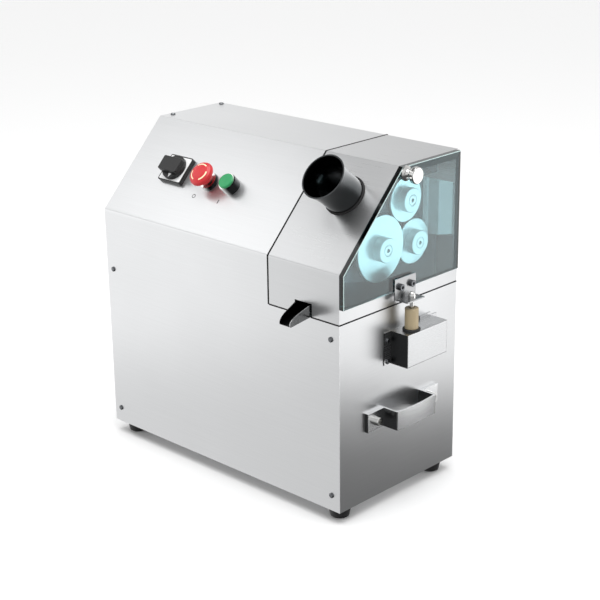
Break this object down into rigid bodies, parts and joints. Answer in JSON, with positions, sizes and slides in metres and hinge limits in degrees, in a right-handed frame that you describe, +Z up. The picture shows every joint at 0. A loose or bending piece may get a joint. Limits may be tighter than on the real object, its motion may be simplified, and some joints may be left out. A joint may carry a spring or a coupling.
{
  "type": "sugarcane juicer",
  "caption": "Table-top electric cane juicer: a trumpet feed funnel, geared rollers behind a swing-up hood with a tinted window, a juice spout, safety interlock and push-button controls.",
  "frame": {"origin": "on the plane the feet stand on, under the middle of the whole machine", "axes": "+X to the window end with the rollers, along the roller shafts; +Y to the back; +Z up. The controls and the spout face -Y."},
  "size_m": [0.534, 0.324, 0.5286],
  "materials": {
    "sheet": "brushed stainless sheet",
    "bent_strap": "brushed stainless strap",
    "plate": "milled steel plate",
    "roller_steel": "turned stainless, grooved",
    "disc_steel": "fine turned stainless",
    "gear_steel": "hobbed and oiled",
    "cast_housing": "grey machinery enamel",
    "rotor_steel": "laminated steel",
    "bronze": "turned bearing bronze",
    "plated": "bright nickel plate",
    "black_screw": "blackened steel",
    "tinted_pane": "clear blue-green acrylic",
    "rubber": "moulded black rubber",
    "cream_nylon": "turned natural nylon",
    "black_plastic": "fine spark texture",
    "red_plastic": "gloss",
    "green_plastic": "gloss",
    "grey_plastic": "moulded thermoset"
  },
  "bodies": {
    "housing": {"base_pan": "sheet", "feet": "rubber", "front_cover": "sheet", "top_cover": "sheet", "left_end_panel": "sheet", "right_end_panel": "sheet", "panel_screws": "black_screw", "roller_bulkhead": "plate", "gear_plate": "plate", "bearing_plate": "plate", "plate_spacers": "plate", "shaft_bushes": "bronze", "deck_plate": "sheet", "juice_tray": "sheet", "juice_spout": "bent_strap", "guide_bar": "roller_steel", "bagasse_chute": "bent_strap", "carry_handle": "bent_strap", "handle_bolts": "plated", "switch_box": "bent_strap", "interlock_bush": "cream_nylon", "interlock_ring": "rubber", "interlock_switch": "grey_plastic", "selector_plate": "black_plastic", "selector_body": "grey_plastic", "stop_collar": "black_plastic", "start_collar": "plated", "contact_blocks": "grey_plastic", "motor_housing": "cast_housing", "gearbox": "cast_housing", "contactor": "grey_plastic", "cable_gland": "black_plastic", "fixed_hinge_leaf": "bent_strap", "hinge_pin": "plated"},
    "motor": {"motor_rotor": "rotor_steel"},
    "drive": {"drive_pinion": "gear_steel"},
    "front_rolls": {"front_roller": "roller_steel", "front_gear": "gear_steel", "front_disc": "disc_steel"},
    "top_rolls": {"top_roller": "roller_steel", "top_gear": "gear_steel", "top_disc": "disc_steel"},
    "rear_rolls": {"rear_roller": "roller_steel", "rear_gear": "gear_steel", "rear_disc": "disc_steel"},
    "hood": {"hood_shell": "sheet", "hood_top": "sheet", "hood_window": "tinted_pane", "window_knob": "plated", "feed_funnel": "bent_strap", "funnel_seal": "rubber", "interlock_bracket": "bent_strap", "interlock_pin": "plated", "bracket_screws": "plated", "moving_hinge_leaf": "bent_strap"},
    "selector": {"selector_knob": "black_plastic"},
    "stop_slider": {"stop_stem": "black_plastic"},
    "stop_head": {"stop_button": "red_plastic"},
    "start_push": {"start_button": "green_plastic"},
    "interlock_push": {"interlock_plunger": "plated"}
  },
  "joints": [
    {"name": "motor_spin", "type": "hinge", "parent": "housing", "child": "motor", "pos_m": [-0.15, 0.00738, 0.31614], "axis": [1, 0, 0], "continuous": true},
    {"name": "drive_spin", "type": "hinge", "parent": "housing", "child": "drive", "pos_m": [0.05, 0.00738, 0.31614], "axis": [1, 0, 0], "continuous": true},
    {"name": "front_spin", "type": "hinge", "parent": "housing", "child": "front_rolls", "pos_m": [0.15, -0.01242, 0.39004], "axis": [1, 0, 0], "continuous": true},
    {"name": "top_spin", "type": "hinge", "parent": "housing", "child": "top_rolls", "pos_m": [0.15, 0.0495, 0.449], "axis": [1, 0, 0], "continuous": true},
    {"name": "rear_spin", "type": "hinge", "parent": "housing", "child": "rear_rolls", "pos_m": [0.15, 0.06654, 0.38214], "axis": [1, 0, 0], "continuous": true},
    {"name": "hood_hinge", "type": "hinge", "parent": "housing", "child": "hood", "pos_m": [0.165, 0.147, 0.304], "axis": [-1, 0, 0], "range_deg": [0, 95]},
    {"name": "selector_turn", "type": "hinge", "parent": "housing", "child": "selector", "pos_m": [-0.161, -0.0559, 0.44769], "axis": [0, 0.7209, -0.693], "range_deg": [0, 90]},
    {"name": "stop_press", "type": "slide", "parent": "housing", "child": "stop_slider", "axis": [0, 0.7209, -0.693], "range_m": [0, 0.004]},
    {"name": "stop_twist", "type": "hinge", "parent": "stop_slider", "child": "stop_head", "pos_m": [-0.085, -0.05971, 0.44372], "axis": [0, 0.7209, -0.693], "range_deg": [0, 30], "stiffness_Nm_per_rad": 0.05, "springref_deg": -2.86},
    {"name": "start_press", "type": "slide", "parent": "housing", "child": "start_push", "axis": [0, 0.7209, -0.693], "range_m": [0, 0.004], "stiffness_N_per_m": 600, "springref_m": -0.002},
    {"name": "interlock_press", "type": "slide", "parent": "housing", "child": "interlock_push", "axis": [0, 0, -1], "range_m": [0, 0.003], "stiffness_N_per_m": 500, "springref_m": -0.002}
  ],
  "couplings": [
    {"joint": "drive_spin", "follows": "motor_spin", "ratio": 0.083333},
    {"joint": "front_spin", "follows": "motor_spin", "ratio": -0.041667},
    {"joint": "top_spin", "follows": "motor_spin", "ratio": 0.061594},
    {"joint": "rear_spin", "follows": "motor_spin", "ratio": -0.061594}
  ]
}
